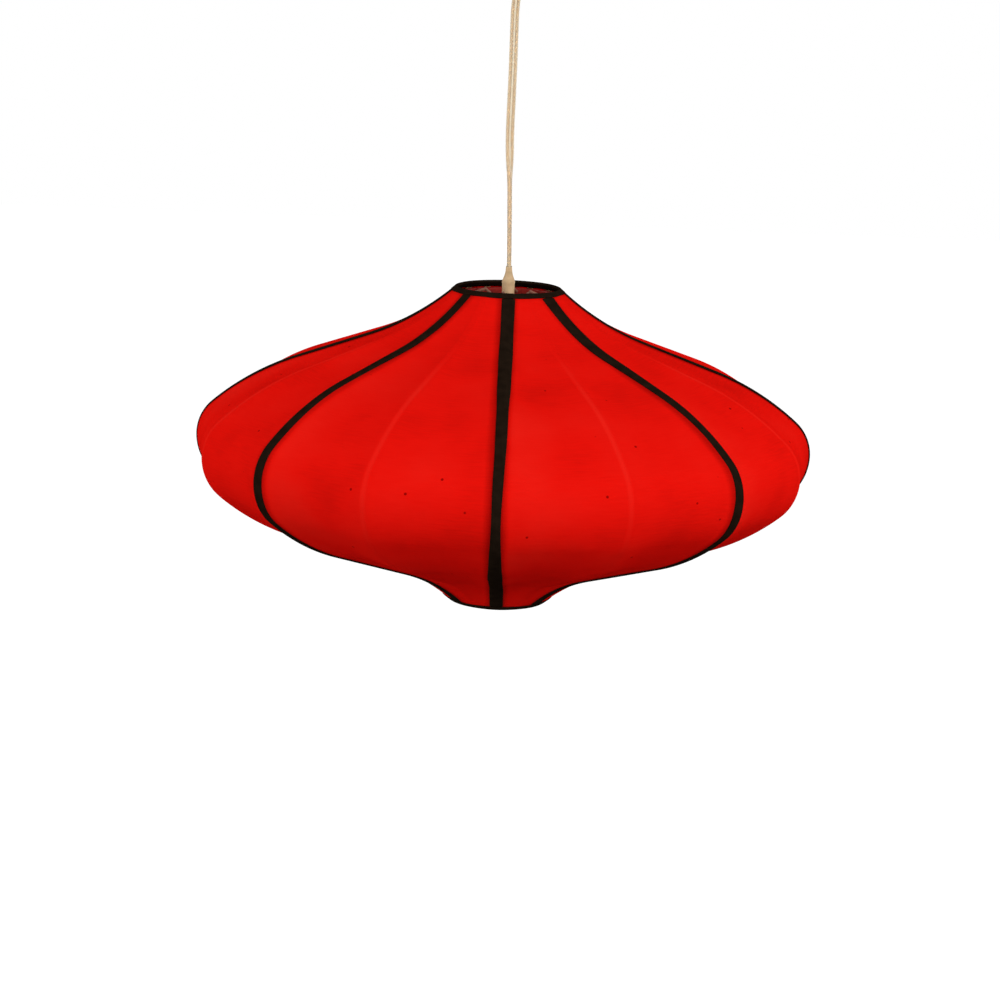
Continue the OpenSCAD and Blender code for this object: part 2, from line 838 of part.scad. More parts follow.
// Twin cord: two cores side by side, swept up its line and turned a quarter on the way.
module pendant_cord() {
    m = len(cord_ring);
    heights = [for (k = [0 : cord_rings]) cord_end + (cord_top - cord_end) * k / cord_rings];
    pts = [for (z = heights) for (p = cord_ring)
        let (q = turned(p, cord_turn(z)))
        [q[0] + cord_x(z), q[1], z]];
    sides = [for (j = [0 : cord_rings - 1]) for (k = [0 : m - 1]) each cord_quad(j, k, m)];
    low = [for (k = [0 : m - 1]) k];
    high = [for (k = [m - 1 : -1 : 0]) cord_rings * m + k];
    color("moccasin")
        hung()
            polyhedron(pts, concat(sides, [low, high]));
}
function cord_quad(j, k, m) =
    let (a = j * m + k, b = j * m + (k + 1) % m)
    [[a, a + m, b], [b, a + m, b + m]];

// Ball on the cord, resting in the bush: the pendant swings on it.
module stop_ball() {
    color("white")
        translate([0, 0, pivot_z])
            difference() {
                sphere(d = ball_d);
                cylinder(d = cord_hole_d, h = ball_d + over, center = true);
                rotate([0, 90, 0])
                    cylinder(d = grub_d, h = ball_d);
            }
}

module stop_screw() {
    color("silver")
        translate([cord_hole_d / 2, 0, pivot_z])
            rotate([0, 90, 0])
                cylinder(d = grub_d, h = ball_d / 2 - cord_hole_d / 2 - grub_in);
}

// Terminal block on the cord's end inside the cup.
module terminal_block() {
    color("white")
        translate([0, 0, term_z])
            difference() {
                translate([-term_w / 2, -term_t / 2, 0])
                    cube([term_w, term_t, term_h]);
                translate([0, 0, -over])
                    cylinder(d = cord_hole_d, h = over + term_cord + cord_play);
                for (side = [-1, 1])
                    translate([side * term_span / 2, 0, term_h - term_pole_deep])
                        cylinder(d = term_pole_d, h = term_pole_deep + over);
            }
}

// Outline of the ceiling cup, solid, as radius and depth below its rim.
module cup_outline(r, h, round_r) {
    union() {
        square([r - round_r, h]);
        square([r, h - round_r]);
        translate([r - round_r, h - round_r])
            intersection() {
                circle(r = round_r);
                square([round_r, round_r]);
            }
    }
}

// Ceiling cup: a turned shell, open above, with a hole for the bush and two for its screws.
module ceiling_cup() {
    depth = cup_h - cup_gap;
    color("white")
        difference() {
            rotate([180, 0, 0])
                translate([0, 0, cup_gap])
                    rotate_extrude()
                        difference() {
                            cup_outline(cup_r, depth, cup_round);
                            cup_outline(cup_r - cup_wall, depth - cup_wall, cup_round - cup_wall);
                        }
            translate([0, 0, -cup_h - over])
                cylinder(r = bush_r + bush_gap, h = cup_wall + 2 * over);
            for (side = [-1, 1])
                translate([side * (ear_x - over), 0, screw_z])
                    rotate([0, side * 90, 0])
                        cylinder(d = screw_d + 2 * screw_play, h = ear_gap + cup_wall + 2 * over);
        }
}

// Strap on the ceiling: two screw holes and two ears for the cup's screws.
module ceiling_strap() {
    color("silver")
        difference() {
            union() {
                translate([-ear_x + ear_neck, -strap_w / 2, -strap_t])
                    cube([2 * (ear_x - ear_neck), strap_w, strap_t]);
                translate([-ear_x, -ear_w / 2, -strap_t])
                    cube([2 * ear_x, ear_w, strap_t]);
                for (side = [0, 1])
                    mirror([side, 0, 0])
                        translate([ear_x - strap_t, -ear_w / 2, -ear_l])
                            cube([strap_t, ear_w, ear_l]);
            }
            for (side = [-1, 1])
                translate([side * hole_span / 2, 0, -strap_t - over])
                    cylinder(d = hole_d, h = strap_t + 2 * over);
            for (side = [0, 1])
                mirror([side, 0, 0])
                    translate([ear_x - strap_t - over, 0, screw_z])
                        rotate([0, 90, 0])
                            cylinder(d = screw_d + 2 * bush_gap, h = strap_t + 2 * over);
        }
}

// Two pan-headed screws through the cup into the strap's ears.
module cup_screws() {
    shank = screw_past + strap_t + ear_gap + cup_wall + bush_gap;
    color("silver")
        for (side = [0, 1])
            mirror([side, 0, 0])
                translate([ear_x - strap_t - screw_past, 0, screw_z])
                    rotate([0, 90, 0]) {
                        cylinder(d = screw_d, h = shank + screw_head_h / 2);
                        translate([0, 0, shank])
                            cylinder(d = screw_head_d, h = screw_head_h);
                    }
}

// Bush in the cup's floor: a round seat for the ball above, a bell mouth for the cord below.
module cord_bush() {
    color("white")
        difference() {
            union() {
                translate([0, 0, bush_z])
                    cylinder(r = bush_r, h = pivot_z - seat_cut - bush_z);
                translate([0, 0, floor_z + bush_gap])
                    cylinder(r = bush_r + flange_out, h = flange_h);
            }
            translate([0, 0, pivot_z])
                sphere(r = seat_r);
            translate([0, 0, bush_z - hair])
                cylinder(d1 = mouth_d, d2 = 2 * seat_low, h = pivot_z - seat_low - bush_z + hair);
        }
}

ceiling_strap();
ceiling_cup();
cup_screws();
cord_bush();
stop_ball();
stop_screw();
terminal_block();
pendant_cord();
grip_cone();
stem();
holder_cap();
holder_skirt();
contact_block();
centre_contact();
screw_shell();
bulb_glass();
bulb_cap();
bulb_tip();
spider();
top_hoop();
bottom_hoop();
top_wire();
bottom_wire();
for (i = [1 : ribs]) rib(i - 1);
for (i = [1 : panels]) panel(i - 1);
for (i = [1 : panels]) rib_ribbon(i - 1);
top_ribbon();
bottom_ribbon();
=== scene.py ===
import bmesh
import bpy
import numpy as np
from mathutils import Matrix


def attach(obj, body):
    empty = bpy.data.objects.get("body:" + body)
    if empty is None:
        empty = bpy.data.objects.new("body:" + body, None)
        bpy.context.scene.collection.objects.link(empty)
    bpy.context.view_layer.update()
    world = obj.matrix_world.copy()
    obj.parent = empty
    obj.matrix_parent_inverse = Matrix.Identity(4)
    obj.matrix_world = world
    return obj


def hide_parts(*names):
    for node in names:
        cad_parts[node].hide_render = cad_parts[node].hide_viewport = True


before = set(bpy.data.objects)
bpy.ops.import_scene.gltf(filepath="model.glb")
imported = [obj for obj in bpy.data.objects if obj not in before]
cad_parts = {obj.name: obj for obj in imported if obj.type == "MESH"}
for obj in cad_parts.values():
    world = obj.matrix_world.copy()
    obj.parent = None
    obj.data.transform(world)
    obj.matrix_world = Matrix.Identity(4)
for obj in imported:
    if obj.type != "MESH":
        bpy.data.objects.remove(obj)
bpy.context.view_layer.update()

# Camera
# The photograph is taken about 1.36 m from the lantern with a short telephoto lens, from
# a little above it, and leans about two degrees, so that the lantern's right side hangs low.
widest_z = -0.330
camera_far = 1.362
camera_up = np.radians(11.69)
camera_turn = np.radians(0.63)
camera_roll = np.radians(2.07)
lens_px = 2088.0
middle_px = (502.6, 444.5)
frame_px = 1000.0
sensor_mm = 36.0


def turn_x(a):
    """Turn about the first axis by a."""
    return np.array([[1, 0, 0], [0, np.cos(a), -np.sin(a)], [0, np.sin(a), np.cos(a)]])


def turn_y(a):
    """Turn about the second axis by a."""
    return np.array([[np.cos(a), 0, np.sin(a)], [0, 1, 0], [-np.sin(a), 0, np.cos(a)]])


def turn_z(a):
    """Turn about the third axis by a."""
    return np.array([[np.cos(a), -np.sin(a), 0], [np.sin(a), np.cos(a), 0], [0, 0, 1]])


camera_dir = np.array([
    np.sin(camera_turn) * np.cos(camera_up),
    -np.cos(camera_turn) * np.cos(camera_up),
    np.sin(camera_up)])
right = np.array([np.cos(camera_turn), np.sin(camera_turn), 0.0])
upward = np.cross(right, -camera_dir)
looking = np.array([right, upward, -camera_dir])
aim_x = np.arctan((middle_px[0] - frame_px / 2) / lens_px)
aim_y = np.arctan((middle_px[1] - frame_px / 2) / lens_px)
looking = turn_x(aim_y) @ turn_y(aim_x) @ turn_z(-camera_roll) @ looking
camera_place = np.eye(4)
camera_place[:3, :3] = (looking * np.array([[1], [1], [-1]])).T
camera_place[:3, 3] = camera_far * camera_dir + np.array([0, 0, widest_z])
camera = bpy.data.objects.new("camera", bpy.data.cameras.new("camera"))
camera.data.sensor_width = sensor_mm
camera.data.lens = sensor_mm * lens_px / frame_px
camera.matrix_world = camera_place.T.tolist()
bpy.context.collection.objects.link(camera)
bpy.context.scene.camera = camera


# Pendant cord
# A clear flat twin cord: two copper cores in one clear plastic sheath with a groove between them.
# It leaves the ceiling fitting with its wide side to the front, turns a quarter on the way down
# and goes into the cord grip edge on.
cord_w = 0.0054
cord_t = 0.0029
cord_core_d = 0.0015
groove_half_w = 0.0007
groove_share = 0.25
cord_low = widest_z + 0.0784
cord_high = widest_z + 0.3131
cord_turn_low = widest_z + 0.165
cord_turn_high = widest_z + 0.200
cord_route_z = widest_z + np.array([80, 120, 155, 200, 240, 280, 293]) / 1000
cord_route_x = np.array([0, 0, -1, -2.5, -2, -2, 0]) / 1000
cord_ease = np.linspace(-0.008, 0.008, 17)
cord_rows = 156
sheath_sides = 32
core_sides = 8


def once_round(sides):
    """Even angles once round, the last one short of a full turn."""
    return np.linspace(0, 2 * np.pi, sides, endpoint=False)


def smooth_step(t):
    """Zero below 0, one above 1, and 3t^2 - 2t^3 between."""
    t = np.clip(t, 0, 1)
    return t * t * (3 - 2 * t)


def cord_middle(z):
    """The cord's middle line at heights z: the route's points joined and averaged over 16 mm."""
    x = np.interp(z[:, None] + cord_ease, cord_route_z, cord_route_x).mean(axis=1)
    return np.stack([x, np.zeros_like(z), z], axis=1)


def swept(outline, z, shift):
    """A tube: the outline's (x, y) points, moved aside by shift, turned by the cord's quarter turn
    at each height z and set on the cord's middle line, with both ends drawn in to a point."""
    turn = np.pi / 2 * (1 - smooth_step((z - cord_turn_low) / (cord_turn_high - cord_turn_low)))
    c, s = np.cos(turn)[:, None], np.sin(turn)[:, None]
    x, y = outline[None, :, 0] + shift, outline[None, :, 1]
    flat = np.stack([c * x - s * y, s * x + c * y, np.zeros_like(c * x)], axis=2)
    tube = flat + cord_middle(z)[:, None, :]
    ends = tube.mean(axis=1, keepdims=True) + 0 * tube
    return np.concatenate([ends[:1], tube, ends[-1:]])


def grid_piece(name, points, closed=False, uv=None):
    """A piece from a grid of points[row, column]: each face joins four neighbours, closed joins the
    last column to the first, and points that fall together are merged. The first two values of
    uv are the place on the flat cloth, and the next two the distances from its lines."""
    rows, cols = points.shape[:2]
    j, k = np.meshgrid(np.arange(rows - 1), np.arange(cols if closed else cols - 1), indexing="ij")
    k2 = (k + 1) % cols
    quads = np.stack([j * cols + k, j * cols + k2, (j + 1) * cols + k2, (j + 1) * cols + k], axis=-1)
    mesh = bpy.data.meshes.new(name)
    mesh.from_pydata(points.reshape(-1, 3).tolist(), [], quads.reshape(-1, 4).tolist())
    if uv is not None:
        near = j * uv.shape[1] + k
        far = near + uv.shape[1]
        corner = np.stack([near, near + 1, far + 1, far], axis=-1).ravel()
        pairs = np.split(uv.reshape(-1, uv.shape[2]), uv.shape[2] // 2, axis=1)
        for layer, pair in zip(("cloth", "edges"), pairs):
            mesh.uv_layers.new(name=layer).data.foreach_set("uv", pair[corner].ravel())
    work = bmesh.new()
    work.from_mesh(mesh)
    bmesh.ops.remove_doubles(work, verts=work.verts, dist=1e-7)
    work.to_mesh(mesh)
    work.free()
    mesh.shade_smooth()
    piece = bpy.data.objects.new(name, mesh)
    bpy.context.collection.objects.link(piece)
    return piece


def finish_material(name, **sockets):
    """A new material whose Principled shader has these sockets set, with its node tree and shader."""
    mat = bpy.data.materials.new(name)
    mat.use_nodes = True
    shader = mat.node_tree.nodes["Principled BSDF"]
    for socket, value in sockets.items():
        shader.inputs[socket.replace("_", " ")].default_value = value
    return mat, mat.node_tree, shader


def add(tree, kind, links=(), **settings):
    """A node of that kind; settings name its properties or, as numbered inputs i0, i1, their values;
    links are (input, output socket) pairs."""
    node = tree.nodes.new("ShaderNode" + kind)
    for key, value in settings.items():
        if key[0] == "i" and key[1:].isdigit():
            node.inputs[int(key[1:])].default_value = value
        else:
            setattr(node, key, value)
    for key, output in links:
        tree.links.new(node.inputs[key], output)
    return node


def object_space(tree):
    """Places in the object's own space."""
    return add(tree, "TexCoord").outputs["Object"]


def noise(tree, scale, detail=2.0, where=None):
    """Cloudy noise of 0 to 1 with scale cells a metre, over the object's own space or over where."""
    if where is None:
        where = object_space(tree)
    node = add(tree, "TexNoise", [("Vector", where)])
    node.inputs["Scale"].default_value = scale
    node.inputs["Detail"].default_value = detail
    return node.outputs["Fac"]


def bands(tree, where, scale, distortion=0.0, **settings):
    """Light and dark bands of 0 to 1 over where times scale, bent by distortion."""
    node = add(tree, "TexWave", [("Vector", where)], **settings)
    node.inputs["Scale"].default_value = scale
    node.inputs["Distortion"].default_value = distortion
    return node.outputs["Fac"]


def tint(tree, shader, value, *stops, socket="Base Color"):
    """The shader's colour, or another socket, from a ramp over value through (position, colour) stops."""
    node = add(tree, "ValToRGB", [("Fac", value)])
    bar = node.color_ramp.elements
    while len(bar) < len(stops):
        bar.new(0.5)
    for stop, (position, colour) in zip(bar, stops):
        stop.position = position
        stop.color = (*colour, 1)
    tree.links.new(shader.inputs[socket], node.outputs["Color"])


def bump(tree, shader, height, distance):
    """Relief from a height of 0 to 1 that is distance metres deep."""
    node = add(tree, "Bump", [("Height", height)])
    node.inputs["Distance"].default_value = distance
    tree.links.new(shader.inputs["Normal"], node.outputs["Normal"])


turn = once_round(sheath_sides)
lobe = np.sign(np.cos(turn)) * (cord_w - cord_t) / 2
sheath_ring = np.stack([lobe + cord_t / 2 * np.cos(turn), cord_t / 2 * np.sin(turn)], axis=1)
sheath_ring[:, 1] *= 1 - groove_share * np.exp(-(sheath_ring[:, 0] / groove_half_w) ** 2)
turn = once_round(core_sides)
core_ring = np.stack([np.cos(turn), np.sin(turn)], axis=1) * cord_core_d / 2
cord_z = np.linspace(cord_low, cord_high, cord_rows)
cord = grid_piece("cord_sheath", swept(sheath_ring, cord_z, 0.0), closed=True)
cores = [grid_piece(f"cord_core_{side}", swept(core_ring, cord_z[1:-1], shift), closed=True)
         for side, shift in (("a", (cord_t - cord_w) / 2), ("b", (cord_w - cord_t) / 2))]

clear_sheath, tree, shader = finish_material(
    "clear_sheath", Roughness=0.2, IOR=1.38, Transmission_Weight=0.7)
grain = noise(tree, scale=420)
tint(tree, shader, grain, (0.3, (0.90, 0.78, 0.56)), (0.7, (0.97, 0.89, 0.70)))
bump(tree, shader, grain, distance=0.00008)

copper, tree, shader = finish_material("copper_strands", Metallic=1.0, Roughness=0.38)
strand = bands(tree, object_space(tree), scale=700, bands_direction="DIAGONAL")
tint(tree, shader, strand, (0.2, (0.52, 0.35, 0.17)), (0.8, (0.88, 0.67, 0.40)))
bump(tree, shader, strand, distance=0.0001)

for piece, mat in ((cord, clear_sheath), (cores[0], copper), (cores[1], copper)):
    piece.data.materials.append(mat)
    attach(piece, "pendant")
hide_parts("pendant_cord")


# Ceiling fitting
# A white moulded cup on a plated steel strap, closed by two side screws, with a bush through
# its floor. A ball on the cord rests in the bush, and the cord's end is in a terminal block.
def dress(mat, *names):
    """These CAD nodes take this material."""
    for name in names:
        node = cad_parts[name]
        node.data.materials.clear()
        node.data.materials.append(mat)


def stretched(tree, where, scale):
    """Places multiplied by a scale for each axis, so that a pattern runs lengthwise."""
    return add(tree, "Mapping", [("Vector", where)], i3=scale).outputs["Vector"]


white_plastic, tree, shader = finish_material("white_plastic", Roughness=0.36, Specular_IOR_Level=0.45)
tint(tree, shader, noise(tree, scale=45), (0.3, (0.80, 0.78, 0.72)), (0.7, (0.86, 0.85, 0.81)))
bump(tree, shader, noise(tree, scale=900, detail=4), distance=0.00004)
dress(white_plastic, "ceiling_cup", "cord_bush", "stop_ball", "terminal_block",
      "holder_cap", "holder_skirt")

plated_steel, tree, shader = finish_material("plated_steel", Metallic=1.0)
brushed = noise(tree, scale=1, where=stretched(tree, object_space(tree), (40, 900, 900)))
tint(tree, shader, brushed, (0.3, (0.48, 0.48, 0.46)), (0.7, (0.66, 0.66, 0.64)))
tint(tree, shader, brushed, (0.2, (0.28, 0.28, 0.28)), (0.8, (0.42, 0.42, 0.42)), socket="Roughness")
dress(plated_steel, "ceiling_strap", "cup_screws", "stop_screw", "top_wire", "bottom_wire")


# Cord grip and stem
# A tan plastic cone with two jaws closes on the flat cord above a short hollow stem of the same
# plastic; the stem carries the shade's eye and screws into the lampholder's cap.
tan_plastic, tree, shader = finish_material("tan_plastic", Roughness=0.5, Specular_IOR_Level=0.35)
mottle = noise(tree, scale=260, detail=5)
tint(tree, shader, mottle, (0.3, (0.48, 0.33, 0.17)), (0.7, (0.64, 0.46, 0.26)))
bump(tree, shader, mottle, distance=0.00006)
dress(tan_plastic, "grip_cone", "stem")


# Lampholder inside and bulb
# A ceramic contact block with brass contacts and a brass screw shell; the frosted globe bulb has
# a thin rolled screw cap and a black insulator at its tip.
ceramic, tree, shader = finish_material("ceramic", Roughness=0.3)
tint(tree, shader, noise(tree, scale=300), (0.3, (0.70, 0.66, 0.56)), (0.7, (0.80, 0.77, 0.68)))
dress(ceramic, "contact_block")

brass, tree, shader = finish_material("brass", Metallic=1.0, Roughness=0.32)
tint(tree, shader, noise(tree, scale=180), (0.3, (0.56, 0.38, 0.15)), (0.7, (0.78, 0.58, 0.27)))
dress(brass, "screw_shell", "centre_contact")

frosted_glass, tree, shader = finish_material(
    "frosted_glass", Base_Color=(0.92, 0.92, 0.90, 1), Roughness=0.45, IOR=1.45, Transmission_Weight=0.5)
frost = noise(tree, scale=700)
tint(tree, shader, frost, (0.3, (0.38, 0.38, 0.38)), (0.7, (0.52, 0.52, 0.52)), socket="Roughness")
dress(frosted_glass, "bulb_glass")

insulator, tree, shader = finish_material("black_insulator", Roughness=0.4)
tint(tree, shader, noise(tree, scale=400), (0.3, (0.02, 0.02, 0.02)), (0.7, (0.05, 0.05, 0.05)))
dress(insulator, "bulb_tip")

cap_low = widest_z + 0.0312
cap_high = widest_z + 0.0522
cap_r = 0.0131
cap_tip_r = 0.0103
cap_t = 0.0004
cap_rim_h = 0.004
cap_shoulder_h = 0.0032
thread_pitch = 0.00363
thread_deep = 0.0007
thread_fade = 0.002
thread_end = 0.0035
cap_rows = 121
cap_sides = 72


def cap_points():
    """The rolled cap as a radius against height and turn: a plain rim at the glass, a round thread
    that climbs one pitch a turn and fades in and out over about half a pitch, and a shoulder
    drawn in to the insulator, closed by a flat lid."""
    z = cap_low + (cap_high - cap_low) * np.linspace(0, 1, cap_rows)[:, None]
    turn = once_round(cap_sides)[None, :]
    begun = smooth_step((z - cap_low - cap_rim_h) / thread_fade)
    ended = smooth_step((cap_high - thread_end - z) / thread_fade)
    wave = (1 - np.cos(2 * np.pi * (z - cap_low) / thread_pitch - turn)) / 2
    drawn_in = smooth_step((z - cap_high + cap_shoulder_h) / cap_shoulder_h)
    r = cap_r - thread_deep * (begun * ended) * wave - (cap_r - cap_tip_r) * drawn_in
    shell = np.stack([r * np.cos(turn), r * np.sin(turn), z + 0 * turn], axis=2)
    lid = shell[-1:] * np.array([0, 0, 1])
    return np.concatenate([shell, lid])


def thicken(piece, thickness, offset=0):
    """A wall of this thickness, half on each side of the surface, or all inside it with offset -1."""
    wall = piece.modifiers.new("wall", "SOLIDIFY")
    wall.thickness = thickness
    wall.offset = offset


cap = grid_piece("bulb_screw_cap", cap_points(), closed=True)
thicken(cap, cap_t, offset=-1)
rolled, tree, shader = finish_material("rolled_aluminium", Metallic=1.0)
lathe = noise(tree, scale=1, where=stretched(tree, object_space(tree), (60, 60, 2400)))
tint(tree, shader, lathe, (0.3, (0.62, 0.62, 0.61)), (0.7, (0.78, 0.78, 0.77)))
tint(tree, shader, lathe, (0.2, (0.24, 0.24, 0.24)), (0.8, (0.40, 0.40, 0.40)), socket="Roughness")
cap.data.materials.append(rolled)
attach(cap, "bulb")
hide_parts("bulb_cap")


# Shade frame
# Sixteen split bamboo ribs sit with their tongues in the slots of two wooden hoops, each ring of
# tongues on a tie wire; the tongues are stained red with the hoops. A spider of four tan painted
# wires joins the top hoop to the stem.
fibres_round = 2400.0
fibres_along = 18.0
stain_full_r = 0.0340
stain_gone_r = 0.0375
clean_share = 0.5


def maths(tree, operation, *terms):
    """The result of one sum over terms, each a socket or a plain number."""
    node = add(tree, "Math", operation=operation)
    for socket, term in zip(node.inputs, terms):
        if isinstance(term, (int, float)):
            socket.default_value = term
        else:
            tree.links.new(socket, term)
    return node.outputs[0]


bamboo, tree, shader = finish_material("bamboo", Roughness=0.6, Specular_IOR_Level=0.2)
where = object_space(tree)
round_the_stem = add(tree, "TexGradient", [("Vector", where)], gradient_type="RADIAL").outputs["Fac"]
from_ceiling = add(tree, "VectorMath", [(0, where)], operation="LENGTH").outputs["Value"]
lengthwise = add(tree, "CombineXYZ", [
    ("X", maths(tree, "MULTIPLY", round_the_stem, fibres_round)),
    ("Y", maths(tree, "MULTIPLY", from_ceiling, fibres_along))])
fibre = noise(tree, scale=1, where=lengthwise.outputs[0])
across = add(tree, "VectorMath", [(0, where)], operation="MULTIPLY", i1=(1, 1, 0))
radius = add(tree, "VectorMath", [(0, across.outputs[0])], operation="LENGTH").outputs["Value"]
clean = add(tree, "MapRange", [(0, radius)], i1=stain_full_r, i2=stain_gone_r, i3=0.0, i4=clean_share)
tone = maths(tree, "MULTIPLY_ADD", fibre, 1 - clean_share, clean.outputs[0])
tint(tree, shader, tone, (0.10, (0.13, 0.006, 0.005)), (0.42, (0.20, 0.010, 0.008)),
     (0.62, (0.42, 0.27, 0.12)), (0.88, (0.66, 0.48, 0.26)))
bump(tree, shader, fibre, distance=0.00012)
dress(bamboo, *[f"rib_{i:02d}" for i in range(1, 17)])

stained_wood, tree, shader = finish_material("stained_wood", Roughness=0.6, Specular_IOR_Level=0.12)
rings = bands(tree, object_space(tree), scale=260, distortion=4, wave_type="RINGS", rings_direction="Z")
tint(tree, shader, rings, (0.2, (0.17, 0.008, 0.006)), (0.8, (0.28, 0.017, 0.012)))
bump(tree, shader, rings, distance=0.00008)
dress(stained_wood, "top_hoop", "bottom_hoop")

tan_paint, tree, shader = finish_material("tan_paint", Roughness=0.6, Specular_IOR_Level=0.2)
drips = noise(tree, scale=350)
tint(tree, shader, drips, (0.3, (0.17, 0.07, 0.045)), (0.7, (0.25, 0.11, 0.07)))
bump(tree, shader, drips, distance=0.00008)
dress(tan_paint, "spider")


# Fabric cover
# Eight panels of thin red silk, each stretched over one bare rib and glued along the seams to the
# ribs on its two sides; between ribs the cloth pulls straight and sinks a little. It runs on past
# the rib ends at both mouths.
rib_wide_r = 0.19766
rib_neck_r = 0.0361
rib_w = 0.004
rib_step = np.radians(22.5)
seams = 8
# Half a bow is its height, the radius of its bend, and its shoulder, dip and neck in degrees.
upper_half = (0.0982, 0.027, 14.0, 7.5, 13.0)
lower_half = (0.0974, 0.032, 15.0, 6.5, 13.0)
bow_steps = 6001
cover_tail = 0.0048
fabric_out = 0.00157
fabric_t = 0.0004
fabric_sag = 0.0012
shoulder_sag = 0.0016
sag_reach = 0.195
pucker_flank = 0.00012
pucker_neck = 0.00025
pucker_neck_at = 0.19
pucker_neck_long = 0.03
wave_counts = range(2, 6)
wave_lean = 30
wave_start_most = 6.28
panel_seed = 40
panel_rows = 185
# From the bare rib's middle 0 to 1 is half that rib, 1 to 2 the free cloth, 2 to 3 half the seam's rib.
panel_across = np.concatenate([[0, 0.5], 1 + np.linspace(0, 1, 19), [2.5, 2.97]])


def half_bow(height, bend, shoulder, dip, neck):
    """Half a rib's bow from the widest circle to its end: an arc at the bend, a shoulder arc, a straight
    flank and a hollow neck arc of the shoulder's radius, with the three angles given from their
    common chord. Returns the length and the slope at each change of arc."""
    shoulder, dip, neck = np.radians([shoulder, dip, neck])
    reach = np.array([rib_neck_r - rib_wide_r + bend, height])
    chord = np.arctan2(*reach) + np.arccos(bend * np.cos(shoulder) / np.hypot(*reach))
    flank = (2 * np.cos(dip) - np.cos(shoulder) - np.cos(neck)) / np.sin(dip)
    sweep = np.sin(shoulder) + 2 * np.sin(dip) + np.sin(neck) + flank * np.cos(dip)
    radius = (reach @ [-np.cos(chord), np.sin(chord)] + bend * np.sin(shoulder)) / sweep
    slopes = np.array([np.pi / 2, chord + shoulder, chord - dip, chord - dip, chord + neck])
    bend_span = bend * (slopes[0] - slopes[1])
    spans = [bend_span, radius * (shoulder + dip), radius * flank, radius * (dip + neck)]
    return np.concatenate([[0], np.cumsum(spans)]), slopes


def half_line(half, tail):
    """Length, radius, height and slope along half a bow and its straight tail, as running sums."""
    knots, slopes = half_bow(*half)
    run = np.linspace(0, knots[-1] + tail, bow_steps)
    slope = np.interp(run, knots, slopes)
    back = np.concatenate([[0], np.cumsum(np.cos(slope[1:]) + np.cos(slope[:-1]))]) * run[1] / 2
    rise = np.concatenate([[0], np.cumsum(np.sin(slope[1:]) + np.sin(slope[:-1]))]) * run[1] / 2
    return run, rib_wide_r - back, rise, slope


def bow(rows, out, tail):
    """Both halves of the bow from the lower mouth to the upper one, moved out by a distance: radius,
    height, the outward normal's two parts and the length from the widest circle, on even rows."""
    low, high = half_line(lower_half, tail), half_line(upper_half, tail)
    length = np.concatenate([-low[0][:0:-1], high[0]])
    r = np.concatenate([low[1][:0:-1], high[1]])
    z = np.concatenate([-low[2][:0:-1], high[2]])
    nr = np.sin(np.concatenate([low[3][:0:-1], high[3]]))
    nz = np.concatenate([-np.cos(low[3][:0:-1]), np.cos(high[3])])
    s = np.linspace(length[0], length[-1], rows)
    r, z, nr, nz = [np.interp(s, length, v) for v in (r, z, nr, nz)]
    return r + out * nr, z + out * nz, nr, nz, s


def panel_points(turn, seed):
    """The cloth of one panel: on each row of the bow the cloth is flat over a rib's width, and runs
    straight from rib edge to rib edge less a sag that is greatest halfway, at the shoulders of the bow.
    Faint waves across the span, strongest at the necks, stand for the pull of the glue. Returns
    the points and, for the cloth's looks, the place on the flat cloth and the distances from the
    bare rib and from the seam."""
    r, z, nr, nz, s = [v[:, None] for v in bow(panel_rows, fabric_out, cover_tail)]
    w = np.concatenate([-panel_across[:0:-1], panel_across])[None, :]
    side, t = np.sign(w), abs(w)
    over = np.clip(t, 0, 1) * rib_w / 2
    span = np.clip(t - 1, 0, 1)
    past = np.clip(t - 2, 0, 1) * rib_w / 2
    edge_x = r * np.cos(rib_step) + rib_w / 2 * np.sin(rib_step)
    edge_y = r * np.sin(rib_step) - rib_w / 2 * np.cos(rib_step)
    x = r + (edge_x - r) * span - past * np.sin(rib_step)
    y = over + (edge_y - rib_w / 2) * span + past * np.cos(rib_step)
    wide = np.hypot(edge_x - r, edge_y - rib_w / 2)
    grown = np.clip((r - rib_neck_r) / (rib_wide_r - rib_neck_r), 0, 1)
    rng = np.random.default_rng(seed)
    waves = np.zeros(np.broadcast_shapes(r.shape, w.shape))
    for n in wave_counts:
        high = rng.normal(0, 1 / n)
        lean = wave_lean * s * rng.normal(0, 1)
        start = rng.uniform(0, wave_start_most)
        waves += high * np.sin(n * np.pi * span + lean + start)
    pucker = pucker_neck * np.exp(-((abs(s) - pucker_neck_at) / pucker_neck_long) ** 2) + pucker_flank
    along = np.pi * np.clip(abs(s) / sag_reach, 0, 1)
    depth = fabric_sag * np.cos(along / 2) + shoulder_sag * np.sin(along) ** 2
    free = 4 * span * (1 - span)
    sunk = depth * free - pucker * waves * np.sqrt(free) * grown ** 0.5
    slant = rib_step / 2 * np.clip(2 * span, 0, 1)
    x, y = x - sunk * nr * np.cos(slant), y - sunk * nr * np.sin(slant)
    height = z - sunk * nz + 0 * w
    cx, cy = np.sin(turn), -np.cos(turn)
    points = np.stack([x * cx - side * y * cy, x * cy + side * y * cx, widest_z + height], axis=2)
    from_bare = over + wide * span + past
    from_seam = rib_w + wide - from_bare
    return points, np.stack([side * from_bare, s + 0 * w, from_bare, from_seam], axis=2)


def fade(tree, value, whole_and_gone, most):
    """As much as most up to the first of two values, falling smoothly to zero at the second."""
    whole, gone = whole_and_gone
    return add(tree, "MapRange", [(0, value)], interpolation_type="SMOOTHSTEP",
               i1=whole, i2=gone, i3=most, i4=0.0).outputs[0]


